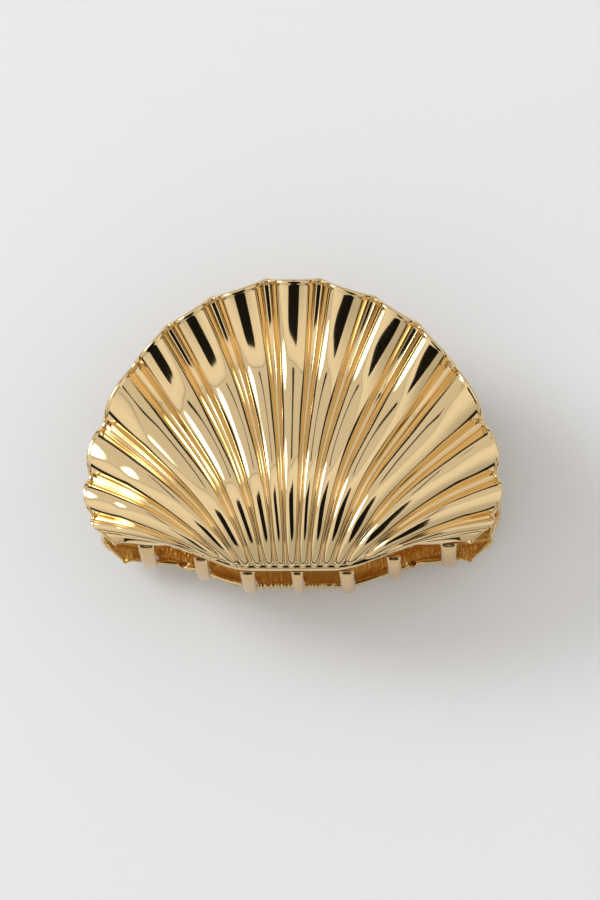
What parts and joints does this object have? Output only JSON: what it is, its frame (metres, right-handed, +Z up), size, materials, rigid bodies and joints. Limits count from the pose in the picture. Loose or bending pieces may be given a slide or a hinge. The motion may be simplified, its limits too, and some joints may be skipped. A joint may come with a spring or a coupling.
{
  "type": "claw clip",
  "caption": "Gold shell-shaped hair claw clip: two ribbed, fan-shaped metal jaws with curved teeth, joined by a sprung hinge pin, lying closed.",
  "frame": {"origin": "centre of the closed clip's bounding box in X and Y, on the surface it lies on", "axes": "+Z up from the surface the clip lies on; X runs along the hinge pin, across the fan; +Y points from the teeth to the fan edge (the levers)"},
  "size_m": [0.0792, 0.0597, 0.0361],
  "materials": {
    "polished_gold": "pale champagne-gold plating on zinc alloy, mirror polished",
    "cast_gold": "gold plating over an as-cast, slightly rough face",
    "hinge_steel": "gold-washed steel, satin",
    "spring_steel": "nickel-plated spring wire"
  },
  "bodies": {
    "rear_jaw": {"rear_shell": "polished_gold", "rear_teeth": "polished_gold", "rear_hinge_lugs": "cast_gold", "hinge_pin": "hinge_steel", "torsion_spring": "spring_steel"},
    "front_jaw": {"front_shell": "polished_gold", "front_teeth": "polished_gold", "front_hinge_lugs": "cast_gold"}
  },
  "joints": [
    {"name": "jaw_hinge", "type": "hinge", "parent": "rear_jaw", "child": "front_jaw", "pos_m": [0, 0.00664, 0.01685], "axis": [-1, 0, 0], "range_deg": [0, 45], "stiffness_Nm_per_rad": 0.33, "springref_deg": -25.78, "deforming": ["torsion_spring"]}
  ]
}
